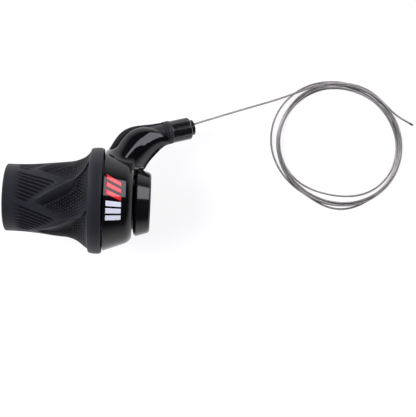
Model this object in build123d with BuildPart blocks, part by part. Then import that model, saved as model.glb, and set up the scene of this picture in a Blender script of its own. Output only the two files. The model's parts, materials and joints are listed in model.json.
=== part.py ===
from build123d import *
import os
from math import acos, cos, degrees, pi, radians, sin, tan

# A twist grip shifter for a 22.2 mm handlebar, in millimetres.
# The origin is on the handlebar's axis, in the plane of the clamp's bolt.
# +X runs along the bar towards the stem, +Y to the cable arm, +Z up from the surface it lies on.

os.makedirs("parts", exist_ok=True)

# Bar, bearing and grip tube, radii from the bar outwards
bar_radius = 11.1
clamp_clearance = 0.05
sleeve_clearance = 0.15
sleeve_wall = 1.15
ball_radius = 0.75
ball_clearance = 0.1
tube_wall = 1.0
seat_clearance = 0.05
run_clearance = 0.2

# Lengths along the bar, from the collar outwards
collar_half_length = 3.3
collar_left_length = 5.2
collar_gap = 0.6
end_wall = 3.7
sleeve_flange_width = 1.8
tube_end_gap = 0.5
index_ring_width = 1.3
spool_width = 6.8
housing_overlap = 0.4
grip_gap = 0.9
grip_length = 49.3
tube_recess = 0.5

# Rubber grip
grip_end_radius = 17.25
grip_mid_radius = 17.85
grip_mid_from_end = 15.0
grip_waist_radius = 19.2
grip_waist_from_flange = 14.7
grip_throat_radius = 20.85
grip_throat_from_flange = 6.2
grip_neck_lean = 0.85
flange_radius = 27.6
flange_rise = 1.4
flange_width = 6.6
flange_crown = 0.5
flange_crest = 0.4
flange_edge = 0.5
flange_rubber = 3.1
tube_disc_width = 2.6
tube_disc_inset = 0.7
rib_panels = 6
ribs_per_panel = 8
rib_radius = 0.9
rib_depth = 0.55
rib_lead = 1.13
rib_first_angle = 48.5
rib_step_angle = 6.55
rib_start_from_end = 6.3
rib_longest = 19.7
rib_shortening = 1.85
fan_depth = 0.7
fan_middle = 5.5
fan_crest = ((16.2, -4.0), (20.0, 4.4), (25.0, 13.5), (30.5, 22.8), (36.0, 32.0), (42.2, 49.0))
fan_side = ((16.2, -4.0), (20.0, -12.2), (25.0, -22.5), (31.5, -27.7), (37.0, -21.7), (42.2, -12.0))

# Left end stop of the grip tube
sleeve_end_inset = 0.7
ring_groove_from_end = 0.8
ring_thickness = 0.7
ring_depth = 0.5
ring_height = 0.9
ring_opening = 60.0
washer_thickness = 0.6
stop_lip_width = 1.2

# Bearing rows
balls_per_row = 6
ball_rows_from_end = (11.0, 41.0)
cage_wall = 1.1
cage_width = 3.2

# Indexing: nine steps over the grip's turn
twist_range = 90.0
index_steps = 9
index_radius = 18.5
notch_radius = 0.85
spring_angle = 90.0
spring_sweep = 52.0
spring_thickness = 0.35
spring_width = 1.0
spring_lift = 0.8
spring_foot_angle = 4.0
spring_nose_width = 1.05

# Cable and spool
cable_radius = 0.55
wrap_radius = 19.0
groove_from_left = 3.4
groove_width = 1.6
spool_left_radius = 21.6
spool_right_radius = 20.4
wrap_angle = 30.0
head_radius = 2.0
head_length = 4.0
head_clearance = 0.15

# Housing drum and its two shells
drum_left_radius = 26.0
drum_shoulder_radius = 21.9
drum_shoulder_from_right = 3.6
drum_right_radius = 18.6
housing_wall = 1.8
sleeve_flange_radius = 19.5
sleeve_screw_circle = 17.6
sleeve_screw_radius = 0.95
sleeve_screw_head = 1.6
sleeve_screw_length = 2.6
driver_share = 0.65

# Arm: points on the split face as (along, out), from the spool's groove plane and the bar's axis
arm_tilt = 13.0
split_height = -3.45
arm_upper_edge = ((-3.2, 14.0), (-3.6, 25.5), (0.8, 33.2), (6.3, 38.5), (14.4, 40.9), (20.6, 42.0))
arm_cover_edge = ((-1.2, 14.0), (-1.2, 26.4), (3.4, 33.2), (7.9, 37.6), (15.4, 40.0), (21.6, 39.4))
arm_lower_edge = ((9.6, 10.0), (17.2, 19.5), (20.2, 23.9), (22.7, 26.8), (25.2, 29.3), (27.0, 30.6))
arm_cover_heights = ((22.0, 8.0), (13.5, 7.0), (10.6, 7.4), (8.9, 7.4), (7.6, 7.0), (6.9, 6.6))
arm_base_heights = ((20.0, 8.0), (11.5, 7.2), (9.0, 7.4), (8.0, 7.4), (7.0, 6.8), (6.4, 6.3))
arm_shares = (0.06, 0.25, 0.5, 0.75, 0.94)
arm_square = 2.3
arm_round = 2.0
arm_blend = 7.0
cover_tip_edges = (0.3, -6.4)
cover_tip_heights = (6.4, 6.0)
split_overlap = 1.0
channel_clearance = 0.05
guide_bore = 0.75
guide_radius = 1.4
cable_bend_radius = 14.0
cover_screw_places = ((8.0, 25.6), (20.8, 29.8))
cover_screw_radius = 1.1
cover_screw_head = 2.1
cover_screw_head_height = 1.5
cover_screw_seat = 4.6
cover_screw_length = 8.2

# Barrel adjuster, along its own axis from the end of the arm
barrel_place = (27.4, 37.5)
barrel_angle = 15.5
barrel_radius = 6.2
nose_length = 0.6
nose_proud = 0.3
nose_tube_wall = 0.9
bush_length = 8.0
bush_wall = 0.8
stem_radius = 3.4
stem_inside = 7.5
stem_bore = 1.7
housing_seat_radius = 2.55
housing_seat_from_nose = 5.0
knob_gap = 0.3
knob_length = 13.1
knob_band = 3.6
flute_count = 6
flute_radius = 2.5
flute_depth = 1.25
tip_radius = 4.2
tip_length = 2.4
tip_rounding = 0.6
oring_section = 0.5
oring_clearance = 0.1
mouth_gap = 0.8
cable_lean = 1.5
cable_lean_start = 3.0

# Clamp collar, its ears and bolt
collar_neck_radius = 14.4
collar_lip_radius = 16.2
collar_lip_width = 1.5
collar_left_radius = 15.5
collar_bevel_radius = 16.9
collar_bevel_from_left = 0.5
collar_peak_radius = 17.75
collar_peak_from_left = 1.6
collar_right_radius = 15.4
collar_rim = 0.8
collar_relief = 0.8
ear_width = 14.0
ear_slit = 2.0
bolt_height_from_floor = 5.8
bolt_radius = 2.0
bolt_clearance = 0.05
bolt_head_radius = 3.5
bolt_head_height = 3.4
bolt_end_inset = 0.8
bolt_socket_radius = 1.5
bolt_socket_depth = 2.0

# Free cable: the route's points, and the loose coil on the floor
cable_run_points = [
    (40.0, 48.9, -17.3),
    (56.0, 54.7, -20.9),
    (72.0, 60.3, -24.0),
    (84.0, 65.4, -25.6),
    (93.5, 69.4, -26.3),
]
cable_tail_points = [
    (133.0, 62.5, -26.3),
    (141.0, 55.5, -26.8),
    (147.0, 52.4, -27.0),
    (151.3, 50.3, -27.05),
]
coil_centre = (107.5, 36.6)
coil_inner_radius = 31.0
coil_outer_radius = 38.4
coil_height = 4.4
coil_chamfer = 1.4
bend_share = 0.45

# Radii that follow from the bearing stack
clamp_bore = bar_radius + clamp_clearance
sleeve_bore = bar_radius + sleeve_clearance
sleeve_radius = sleeve_bore + sleeve_wall
ball_circle = sleeve_radius + ball_clearance + ball_radius
tube_bore = ball_circle + ball_radius + ball_clearance
tube_radius = tube_bore + tube_wall
rubber_bore = tube_radius + seat_clearance
grip_neck_radius = flange_radius - flange_rise
flange_face_radius = flange_radius - flange_crown * flange_crest
tube_disc_radius = flange_radius - flange_rubber

# Places along the bar
housing_right = -collar_left_length - collar_gap
end_wall_face = housing_right - end_wall
sleeve_flange_left = end_wall_face - sleeve_flange_width
tube_right = sleeve_flange_left - tube_end_gap
index_left = tube_right - index_ring_width
spool_left = index_left - spool_width
housing_left = spool_left - housing_overlap
grip_right = housing_left - grip_gap
grip_left = grip_right - grip_length
tube_left = grip_left + tube_recess
disc_right = grip_right - tube_disc_inset
disc_left = disc_right - tube_disc_width
groove_x = spool_left + groove_from_left
sleeve_left = grip_left + sleeve_end_inset
ring_left = sleeve_left + ring_groove_from_end
ring_right = ring_left + ring_thickness
washer_left = ring_right + seat_clearance
washer_right = washer_left + washer_thickness
lip_left = washer_right + ball_clearance
lip_right = lip_left + stop_lip_width
floor_height = -flange_radius

# The split face of the two shells carries the cable: its plane tilts along the bar
tilt = radians(arm_tilt)
split_plane = Plane(
    origin=(groove_x, 0, split_height),
    x_dir=(cos(tilt), 0, -sin(tilt)),
    z_dir=(sin(tilt), 0, cos(tilt)),
)
along_barrel = Vector(cos(radians(barrel_angle)), sin(radians(barrel_angle)))
across_barrel = Vector(-sin(radians(barrel_angle)), cos(radians(barrel_angle)))


def on_split(along, out, up=0.0):
    # A point of the split face, lifted off it by up
    return split_plane.from_local_coords(Vector(along, out, up))


def direction_on_split(flat):
    return split_plane.x_dir * flat.X + split_plane.y_dir * flat.Y


barrel_plane = Plane(
    origin=on_split(*barrel_place),
    x_dir=direction_on_split(across_barrel),
    z_dir=direction_on_split(along_barrel),
)


def along_axis(distance, aside=0.0):
    # A point beside the barrel's axis, measured from the end of the arm
    return barrel_plane.from_local_coords(Vector(aside, 0, distance))


# Cable route inside: off the spool at a tangent, round one bend, out along the barrel
bend_corner = on_split(0.0, barrel_place[1] - barrel_place[0] * tan(radians(barrel_angle)))
corner_reach = Vector(0, bend_corner.Y, bend_corner.Z).length
corner_angle = degrees(acos(bend_corner.Y / corner_reach)) * (1 if bend_corner.Z > 0 else -1)
leave_angle = corner_angle - degrees(acos(wrap_radius / corner_reach))
leave_point = Vector(
    groove_x,
    wrap_radius * cos(radians(leave_angle)),
    wrap_radius * sin(radians(leave_angle)),
)
knob_end = knob_gap + knob_length
tip_end = knob_end + tip_length
lean_point = along_axis(cable_lean_start)
mouth_point = along_axis(tip_end + mouth_gap, cable_lean)
run_points = [mouth_point] + [Vector(*point) for point in cable_run_points]
tail_points = [Vector(*point) for point in cable_tail_points]


def corner_radii(points):
    # Each arc is as large as its two runs allow
    radii = []
    for before, corner, after in zip(points, points[1:], points[2:]):
        turn = radians((corner - before).get_angle(after - corner))
        shorter = min((corner - before).length, (after - corner).length)
        radii.append(bend_share * shorter / tan(turn / 2))
    return radii


run_radii = corner_radii(run_points)
tail_radii = corner_radii(tail_points)
lean_radius = corner_radii([bend_corner, lean_point, mouth_point])[0]
print("cable run radii", [round(r, 1) for r in run_radii])
print("cable tail radii", [round(r, 1) for r in tail_radii])


def drum_radius(x):
    # Radius of the drum's cone at a place along the bar
    shoulder_x = housing_right - drum_shoulder_from_right
    slope = (drum_shoulder_radius - drum_left_radius) / (shoulder_x - housing_left)
    return drum_left_radius + slope * (x - housing_left)


# Bar sleeve: fixed inner race on the bar, with a screwed flange and a snap ring groove
with BuildPart() as bar_sleeve:
    with BuildSketch(Plane.XY):
        with BuildLine():
            Polyline(
                (sleeve_left, sleeve_bore),
                (sleeve_left, sleeve_radius),
                (ring_left, sleeve_radius),
                (ring_left, sleeve_radius - ring_depth),
                (ring_right, sleeve_radius - ring_depth),
                (ring_right, sleeve_radius),
                (sleeve_flange_left, sleeve_radius),
                (sleeve_flange_left, sleeve_flange_radius),
                (end_wall_face, sleeve_flange_radius),
                (end_wall_face, sleeve_bore),
                close=True,
            )
        make_face()
    revolve(axis=Axis.X)
    screw_face = Plane(origin=(sleeve_flange_left, 0, 0), x_dir=(0, 1, 0), z_dir=(-1, 0, 0))
    with Locations(screw_face):
        with PolarLocations(sleeve_screw_circle, 3, start_angle=-90):
            CounterSinkHole(
                sleeve_screw_radius + seat_clearance,
                sleeve_screw_head + seat_clearance,
                depth=sleeve_flange_width,
            )
bar_sleeve.part.label = "bar_sleeve"
export_step(bar_sleeve.part, "parts/bar_sleeve.step")

# Countersunk screws that hold the sleeve's flange to the housing's end wall
screw_cone = sleeve_screw_head - sleeve_screw_radius
with BuildPart() as sleeve_screws:
    with Locations(screw_face):
        with PolarLocations(sleeve_screw_circle, 3, start_angle=-90):
            with Locations((0, 0, -screw_cone / 2)):
                Cone(sleeve_screw_radius, sleeve_screw_head, screw_cone)
            with Locations((0, 0, -(sleeve_flange_width + sleeve_screw_length) / 2)):
                Cylinder(sleeve_screw_radius, sleeve_flange_width + sleeve_screw_length)
            with Locations((0, 0, -sleeve_screw_radius / 2)):
                Cylinder(sleeve_screw_radius * driver_share, sleeve_screw_radius, mode=Mode.SUBTRACT)
sleeve_screws.part.label = "sleeve_screws"
export_step(sleeve_screws.part, "parts/sleeve_screws.step")

# Grip tube: turns on the balls, with a stop lip outboard and the disc that backs the flange
with BuildPart() as grip_tube:
    with BuildSketch(Plane.XY):
        with BuildLine():
            Polyline(
                (tube_left, tube_bore),
                (tube_left, tube_radius),
                (disc_left, tube_radius),
                (disc_left, tube_disc_radius),
                (disc_right, tube_disc_radius),
                (disc_right, tube_radius),
                (tube_right, tube_radius),
                (tube_right, tube_bore),
                (lip_right, tube_bore),
                (lip_right, sleeve_radius + run_clearance),
                (lip_left, sleeve_radius + run_clearance),
                (lip_left, tube_bore),
                close=True,
            )
        make_face()
    revolve(axis=Axis.X)
grip_tube.part.label = "grip_tube"
export_step(grip_tube.part, "parts/grip_tube.step")

# Rubber grip: a waisted sleeve that flares to a flange, with slanted ribs and shallow fans between ridges
neck_x = grip_right - flange_width
waist_x = neck_x - grip_waist_from_flange
throat_x = neck_x - grip_throat_from_flange
mid_x = grip_left + grip_mid_from_end

with BuildLine() as grip_outline:
    Spline(
        (grip_left, grip_end_radius),
        (mid_x, grip_mid_radius),
        (waist_x, grip_waist_radius),
        (throat_x, grip_throat_radius),
        (neck_x, grip_neck_radius),
        tangents=((1, 0), (grip_neck_lean, 1)),
    )


def grip_radius(x):
    # Radius of the grip's outline at a place along the bar, by halving
    curve = grip_outline.edges()[0]
    low, high = 0.0, 1.0
    for _ in range(30):
        middle = (low + high) / 2
        if (curve @ middle).X < x:
            low = middle
        else:
            high = middle
    return (curve @ low).Y


def rib_place(panel, rib, distance):
    # A point of the grip's surface on one rib's line, and the direction out of the surface there
    x = grip_left + rib_start_from_end + distance
    turn = 360.0 / rib_panels * panel + rib_first_angle - rib_step_angle * rib - rib_lead * distance
    out = Vector(0, sin(radians(turn)), cos(radians(turn)))
    return Vector(x, 0, 0) + out * grip_radius(x), out


rib_cutters = []
for panel in range(rib_panels):
    for rib in range(ribs_per_panel):
        rib_length = rib_longest - rib_shortening * rib
        start, _ = rib_place(panel, rib, 0)
        middle, out = rib_place(panel, rib, rib_length / 2)
        end, _ = rib_place(panel, rib, rib_length)
        axis = Plane(origin=middle + out * (rib_radius - rib_depth), x_dir=out, z_dir=end - start)
        rib_cutters.append(axis * Cylinder(rib_radius, rib_length))


def fan_section(height):
    # One fan's outline at a height over the bar's axis: its sides run in to the axis
    out = Vector(0, sin(radians(fan_middle)), cos(radians(fan_middle)))
    plane = Plane(origin=Vector(grip_left, 0, 0) + out * height, x_dir=(1, 0, 0), z_dir=out)
    sides = []
    for side in (fan_crest, fan_side):
        sides.append([(place, height * tan(radians(turn - fan_middle))) for place, turn in side])
    with BuildSketch(plane) as section:
        with BuildLine():
            Spline(*sides[0])
            Spline(*sides[1])
            Line(sides[0][-1], sides[1][-1])
        make_face()
    return section.sketch


with BuildPart() as fan_hollow:
    with BuildSketch(Plane.XY):
        with BuildLine():
            add(Location((0, -fan_depth, 0)) * grip_outline.line)
            Polyline(
                (neck_x, grip_neck_radius - fan_depth),
                (neck_x, flange_radius),
                (grip_left, flange_radius),
                (grip_left, grip_end_radius - fan_depth),
            )
        make_face()
    revolve(axis=Axis.X)
    loft([fan_section(bar_radius), fan_section(flange_radius)], ruled=True, mode=Mode.INTERSECT)
fan_cutters = [fan_hollow.part.rotate(Axis.X, 360.0 / rib_panels * panel) for panel in range(rib_panels)]
with BuildPart() as twist_grip:
    with BuildSketch(Plane.XY):
        with BuildLine():
            add(grip_outline.line)
            Polyline(
                (neck_x, grip_neck_radius),
                (neck_x, flange_radius - flange_crown - flange_edge),
                (neck_x + flange_edge, flange_radius - flange_crown),
            )
            ThreePointArc(
                (neck_x + flange_edge, flange_radius - flange_crown),
                (grip_right - flange_width * flange_crest, flange_radius),
                (grip_right - flange_edge, flange_face_radius),
            )
            Polyline(
                (grip_right - flange_edge, flange_face_radius),
                (grip_right, flange_face_radius - flange_edge),
                (grip_right, tube_disc_radius + seat_clearance),
                (disc_left - seat_clearance, tube_disc_radius + seat_clearance),
                (disc_left - seat_clearance, rubber_bore),
                (grip_left, rubber_bore),
                (grip_left, grip_end_radius),
            )
        make_face()
    revolve(axis=Axis.X)
    add(rib_cutters, mode=Mode.SUBTRACT)
    add(fan_cutters, mode=Mode.SUBTRACT)
twist_grip.part.label = "twist_grip"
export_step(twist_grip.part, "parts/twist_grip.step")

# Cable spool on the grip tube: groove, flanges and the pocket for the cable's head
spool_right = index_left
groove_floor = wrap_radius - cable_radius - seat_clearance
head_angle = leave_angle - wrap_angle
head_place = Vector(
    groove_x,
    wrap_radius * cos(radians(head_angle)),
    wrap_radius * sin(radians(head_angle)),
)
head_along = Vector(0, sin(radians(head_angle)), -cos(radians(head_angle)))
head_plane = Plane(origin=head_place, x_dir=(1, 0, 0), z_dir=head_along)
pocket_side = 2 * (head_radius + head_clearance)
pocket_length = head_length + 2 * head_clearance
with BuildPart() as cable_spool:
    with BuildSketch(Plane.XY):
        with BuildLine():
            Polyline(
                (spool_left, rubber_bore),
                (spool_left, spool_left_radius),
                (groove_x - groove_width, spool_left_radius),
                (groove_x - groove_width / 2, groove_floor),
                (groove_x + groove_width / 2, groove_floor),
                (groove_x + groove_width, spool_right_radius),
                (spool_right, spool_right_radius),
                (spool_right, rubber_bore),
                close=True,
            )
        make_face()
    revolve(axis=Axis.X)
    with BuildSketch(head_plane.offset(-head_clearance)):
        Rectangle(pocket_side, pocket_side)
    extrude(amount=pocket_length, mode=Mode.SUBTRACT)
    with BuildSketch(head_plane.offset(-head_clearance)):
        with Locations((0, -head_radius)):
            Rectangle(pocket_side, pocket_side)
    extrude(amount=pocket_length, mode=Mode.SUBTRACT)
cable_spool.part.label = "cable_spool"
export_step(cable_spool.part, "parts/cable_spool.step")

# Cable head in its pocket, and the stretch of cable that lies in the groove
with BuildPart() as cable_head:
    with BuildSketch(head_plane):
        Circle(head_radius)
    extrude(amount=head_length)
cable_head.part.label = "cable_head"
export_step(cable_head.part, "parts/cable_head.step")

with BuildPart() as cable_wrap:
    with BuildSketch(Plane.XY):
        with Locations((groove_x, wrap_radius)):
            Circle(cable_radius)
    revolve(axis=Axis.X, revolution_arc=wrap_angle)
cable_wrap.part = cable_wrap.part.rotate(Axis.X, head_angle)
cable_wrap.part.label = "cable_wrap"
export_step(cable_wrap.part, "parts/cable_wrap.step")

# Index ring: one notch for each place the grip stops at
index_plane = Plane(origin=(index_left, 0, 0), x_dir=(0, 1, 0), z_dir=(1, 0, 0))
with BuildPart() as index_ring:
    with BuildSketch(index_plane):
        Circle(index_radius)
        Circle(rubber_bore, mode=Mode.SUBTRACT)
        with PolarLocations(
            index_radius, index_steps + 1, start_angle=spring_angle, angular_range=twist_range, endpoint=True
        ):
            Circle(notch_radius, mode=Mode.SUBTRACT)
    extrude(amount=index_ring_width)
index_ring.part.label = "index_ring"
export_step(index_ring.part, "parts/index_ring.step")

# Index spring: a bowed leaf with a round nose in the notch and feet against the housing
spring_plane = index_plane.offset((index_ring_width - spring_width) / 2)
spring_inner = index_radius + spring_lift
spring_outer = spring_inner + spring_thickness
spring_mid_x = index_left + index_ring_width / 2
spring_reach = drum_radius(spring_mid_x + spring_width / 2) - housing_wall - seat_clearance
nose_radius = notch_radius - ball_clearance
with BuildPart() as index_spring:
    with BuildSketch(spring_plane) as leaf:
        with BuildLine():
            CenterArc((0, 0), spring_inner, spring_angle - spring_sweep / 2, spring_sweep)
            CenterArc((0, 0), spring_outer, spring_angle - spring_sweep / 2, spring_sweep)
            Line(
                Vector(spring_inner, 0).rotate(Axis.Z, spring_angle - spring_sweep / 2),
                Vector(spring_outer, 0).rotate(Axis.Z, spring_angle - spring_sweep / 2),
            )
            Line(
                Vector(spring_inner, 0).rotate(Axis.Z, spring_angle + spring_sweep / 2),
                Vector(spring_outer, 0).rotate(Axis.Z, spring_angle + spring_sweep / 2),
            )
        make_face()
        with PolarLocations(index_radius, 1, start_angle=spring_angle):
            Circle(nose_radius)
            with Locations((spring_lift / 2, 0)):
                Rectangle(spring_lift + spring_thickness, spring_nose_width)
        foot_height = spring_reach - spring_inner
        foot_width = 2 * spring_reach * sin(radians(spring_foot_angle / 2))
        with PolarLocations(
            spring_inner + foot_height / 2,
            2,
            start_angle=spring_angle - spring_sweep / 2 + spring_foot_angle / 2,
            angular_range=spring_sweep - spring_foot_angle,
            endpoint=True,
        ):
            Rectangle(foot_height, foot_width)
    extrude(amount=spring_width)
index_spring.part.label = "index_spring"
export_step(index_spring.part, "parts/index_spring.step")

# Balls and their cages between the sleeve and the grip tube
ball_planes = [
    Plane(origin=(grip_left + place, 0, 0), x_dir=(0, 1, 0), z_dir=(1, 0, 0)) for place in ball_rows_from_end
]
with BuildPart() as bearing_balls:
    with Locations(*ball_planes):
        with PolarLocations(ball_circle, balls_per_row):
            Sphere(ball_radius)
bearing_balls.part.label = "bearing_balls"
export_step(bearing_balls.part, "parts/bearing_balls.step")

with BuildPart() as ball_cages:
    with Locations(*ball_planes):
        Cylinder(ball_circle + cage_wall / 2, cage_width)
        Cylinder(ball_circle - cage_wall / 2, cage_width, mode=Mode.SUBTRACT)
        with PolarLocations(ball_circle, balls_per_row):
            Cylinder(
                ball_radius + seat_clearance,
                2 * cage_wall,
                rotation=(0, 90, 0),
                mode=Mode.SUBTRACT,
            )
ball_cages.part.label = "ball_cages"
export_step(ball_cages.part, "parts/ball_cages.step")

# Thrust washer and snap ring keep the grip tube on the sleeve
washer_plane = Plane(origin=(washer_left, 0, 0), x_dir=(0, 1, 0), z_dir=(1, 0, 0))
with BuildPart() as thrust_washer:
    with BuildSketch(washer_plane):
        Circle(tube_bore - run_clearance)
        Circle(sleeve_radius + ball_clearance, mode=Mode.SUBTRACT)
    extrude(amount=washer_thickness)
thrust_washer.part.label = "thrust_washer"
export_step(thrust_washer.part, "parts/thrust_washer.step")

snap_plane = Plane(origin=(ring_left + seat_clearance, 0, 0), x_dir=(0, 1, 0), z_dir=(1, 0, 0))
with BuildPart() as snap_ring:
    with BuildSketch(snap_plane):
        Circle(sleeve_radius + ring_height)
        Circle(sleeve_radius - ring_depth + seat_clearance, mode=Mode.SUBTRACT)
        with BuildLine():
            reach = 2 * tube_bore
            Polyline(
                (0, 0),
                Vector(reach, 0).rotate(Axis.Z, -ring_opening / 2),
                Vector(reach, 0).rotate(Axis.Z, ring_opening / 2),
                close=True,
            )
        make_face(mode=Mode.SUBTRACT)
    extrude(amount=ring_thickness - 2 * seat_clearance)
snap_ring.part.label = "snap_ring"
export_step(snap_ring.part, "parts/snap_ring.step")

# Profiles that both housing shells share: the drum outside, its hollow, the ring of room round the collar
shoulder_x = housing_right - drum_shoulder_from_right
lip_face = end_wall_face + collar_lip_width + 2 * seat_clearance
beyond = 2.0
with BuildSketch(Plane.XY) as drum_outline:
    with BuildLine():
        Polyline(
            (shoulder_x, drum_shoulder_radius),
            (housing_left, drum_left_radius),
            (housing_left, 0),
            (housing_right, 0),
            (housing_right, drum_right_radius),
        )
        TangentArc(
            (shoulder_x, drum_shoulder_radius),
            (housing_right, drum_right_radius),
            tangent=(shoulder_x - housing_left, drum_shoulder_radius - drum_left_radius),
        )
    make_face()
with BuildSketch(Plane.XY) as drum_hollow:
    with BuildLine():
        Polyline(
            (housing_left - beyond, 0),
            (housing_left - beyond, drum_radius(housing_left - beyond) - housing_wall),
            (sleeve_flange_left, drum_radius(sleeve_flange_left) - housing_wall),
            (sleeve_flange_left, sleeve_flange_radius + seat_clearance),
            (end_wall_face, sleeve_flange_radius + seat_clearance),
            (end_wall_face, collar_lip_radius + ball_clearance),
            (lip_face, collar_lip_radius + ball_clearance),
            (lip_face, collar_neck_radius + ball_clearance),
            (housing_right + beyond, collar_neck_radius + ball_clearance),
            (housing_right + beyond, 0),
            close=True,
        )
    make_face()
with BuildSketch(Plane.XY) as collar_room:
    with BuildLine():
        Polyline(
            (housing_right, 0),
            (housing_right, collar_peak_radius + collar_relief),
            (grip_length, collar_peak_radius + collar_relief),
            (grip_length, 0),
            close=True,
        )
    make_face()

with BuildSketch(Plane.XY) as grip_room:
    with BuildLine():
        Polyline(
            (grip_left, 0),
            (grip_left, 2 * flange_radius),
            (housing_left, 2 * flange_radius),
            (housing_left, 0),
            close=True,
        )
    make_face()


def arm_section(upper, lower, heights, fullness, side):
    # Half section of the arm, square to the split face: from one edge over a crown to the other
    across = Vector(lower[0] - upper[0], lower[1] - upper[1])
    width = across.length
    crown = []
    for share in arm_shares:
        height = heights[0] + (heights[1] - heights[0]) * share
        rise = (1 - abs(2 * share - 1) ** fullness) ** (1 / fullness)
        crown.append((share * width, side * height * rise))
    x_dir = direction_on_split(across.normalized())
    plane = Plane(origin=on_split(*upper), x_dir=x_dir, z_dir=x_dir.cross(split_plane.z_dir))
    with BuildSketch(plane) as section:
        with BuildLine():
            Spline((0, 0), *crown, (width, 0), tangents=((0, side), (0, -side)))
            Polyline((width, 0), (width, -side * split_overlap), (0, -side * split_overlap), (0, 0))
        make_face()
    return section.sketch


def beside_barrel(back, aside):
    # A point of the split face, behind the arm's end and to one side of the barrel's axis
    place = Vector(*barrel_place) - along_barrel * back + across_barrel * aside
    return place.X, place.Y


def arm_sections(upper_edge, heights, side):
    rows = zip(upper_edge, arm_lower_edge, heights)
    return [arm_section(upper, lower, height, arm_square, side) for upper, lower, height in rows]


arm_end_radius = barrel_radius - nose_proud
base_end = arm_section(
    beside_barrel(nose_proud, arm_end_radius),
    beside_barrel(nose_proud, -arm_end_radius),
    (arm_end_radius, arm_end_radius),
    arm_round,
    -1,
)
cover_end = arm_section(
    beside_barrel(nose_length, cover_tip_edges[0]),
    beside_barrel(nose_length, cover_tip_edges[1]),
    cover_tip_heights,
    arm_square,
    1,
)
base_arm_sections = arm_sections(arm_upper_edge, arm_base_heights, -1) + [base_end]
cover_arm_sections = arm_sections(arm_cover_edge, arm_cover_heights, 1) + [cover_end]

with BuildLine() as channel_line:
    FilletPolyline(leave_point, bend_corner, lean_point, radius=cable_bend_radius)
channel_start = Plane(origin=channel_line.line @ 0, z_dir=channel_line.line % 0)
with BuildSketch(channel_start) as channel_round:
    Circle(guide_radius + channel_clearance)
bush_room = stem_radius + seat_clearance + bush_wall + seat_clearance
nose_tube_radius = bush_room + nose_tube_wall
nose_tube_length = bush_length + nose_tube_wall
with BuildSketch(barrel_plane.offset(-bush_length - seat_clearance)) as bush_round:
    Circle(bush_room)
with BuildSketch(barrel_plane.offset(-nose_tube_length - seat_clearance)) as tube_room:
    Circle(nose_tube_radius + seat_clearance)
screw_planes = []
for place in cover_screw_places:
    screw_planes.append(Plane(origin=on_split(*place), x_dir=split_plane.x_dir, z_dir=split_plane.z_dir))
screw_end = cover_screw_length - cover_screw_seat
sleeve_screw_hole = sleeve_screw_length + seat_clearance
deep = 4 * drum_left_radius

# Housing base: the matte rear shell, with the ledge along the arm and the nose that holds the barrel
with BuildPart() as housing_base:
    revolve(drum_outline.sketch, axis=Axis.X)
    loft(base_arm_sections)
    split(bisect_by=split_plane, keep=Keep.BOTTOM)
    with BuildSketch(barrel_plane):
        Circle(barrel_radius)
    extrude(amount=-nose_length)
    with BuildSketch(barrel_plane):
        Circle(nose_tube_radius)
    extrude(amount=-nose_tube_length)
    revolve(drum_hollow.sketch, axis=Axis.X, mode=Mode.SUBTRACT)
    revolve(collar_room.sketch, axis=Axis.X, mode=Mode.SUBTRACT)
    revolve(grip_room.sketch, axis=Axis.X, mode=Mode.SUBTRACT)
    sweep(channel_round.sketch, path=channel_line.line, mode=Mode.SUBTRACT)
    extrude(bush_round.sketch, amount=bush_length + beyond, dir=barrel_plane.z_dir, mode=Mode.SUBTRACT)
    with Locations(*screw_planes):
        Cylinder(cover_screw_radius + ball_clearance, deep, mode=Mode.SUBTRACT)
        with Locations((0, 0, -cover_screw_seat - deep / 2)):
            Cylinder(cover_screw_head + ball_clearance, deep, mode=Mode.SUBTRACT)
    with Locations(Plane(origin=(end_wall_face, 0, 0), x_dir=(0, 1, 0), z_dir=(-1, 0, 0))):
        with PolarLocations(sleeve_screw_circle, 3, start_angle=-90):
            Cylinder(sleeve_screw_radius + seat_clearance, 2 * sleeve_screw_hole, mode=Mode.SUBTRACT)
housing_base.part.label = "housing_base"
export_step(housing_base.part, "parts/housing_base.step")

# Housing cover: the glossy front shell
with BuildPart() as housing_cover:
    revolve(drum_outline.sketch, axis=Axis.X)
    loft(cover_arm_sections)
    split(bisect_by=split_plane, keep=Keep.TOP)
    drum_cone = housing_cover.faces().filter_by(GeomType.CONE)[0]
    fillet(drum_cone.edges().filter_by(GeomType.BSPLINE), radius=arm_blend)
    revolve(drum_hollow.sketch, axis=Axis.X, mode=Mode.SUBTRACT)
    revolve(collar_room.sketch, axis=Axis.X, mode=Mode.SUBTRACT)
    revolve(grip_room.sketch, axis=Axis.X, mode=Mode.SUBTRACT)
    sweep(channel_round.sketch, path=channel_line.line, mode=Mode.SUBTRACT)
    extrude(tube_room.sketch, amount=nose_tube_length + beyond, dir=barrel_plane.z_dir, mode=Mode.SUBTRACT)
    with Locations(*screw_planes):
        Cylinder(cover_screw_radius + seat_clearance, 2 * screw_end + 2 * ball_clearance, mode=Mode.SUBTRACT)
    with Locations(Plane(origin=(end_wall_face, 0, 0), x_dir=(0, 1, 0), z_dir=(-1, 0, 0))):
        with PolarLocations(sleeve_screw_circle, 3, start_angle=-90):
            Cylinder(sleeve_screw_radius + seat_clearance, 2 * sleeve_screw_hole, mode=Mode.SUBTRACT)
housing_cover.part.label = "housing_cover"
export_step(housing_cover.part, "parts/housing_cover.step")

# Screws that pull the two shells together, from the back
with BuildPart() as cover_screws:
    with Locations(*screw_planes):
        with Locations((0, 0, screw_end - cover_screw_length / 2)):
            Cylinder(cover_screw_radius, cover_screw_length)
        with Locations((0, 0, -cover_screw_seat - cover_screw_head_height / 2)):
            Cylinder(cover_screw_head, cover_screw_head_height)
        with Locations((0, 0, -cover_screw_seat - cover_screw_head_height)):
            Cylinder(cover_screw_radius * driver_share, cover_screw_head_height, mode=Mode.SUBTRACT)
cover_screws.part.label = "cover_screws"
export_step(cover_screws.part, "parts/cover_screws.step")

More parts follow.
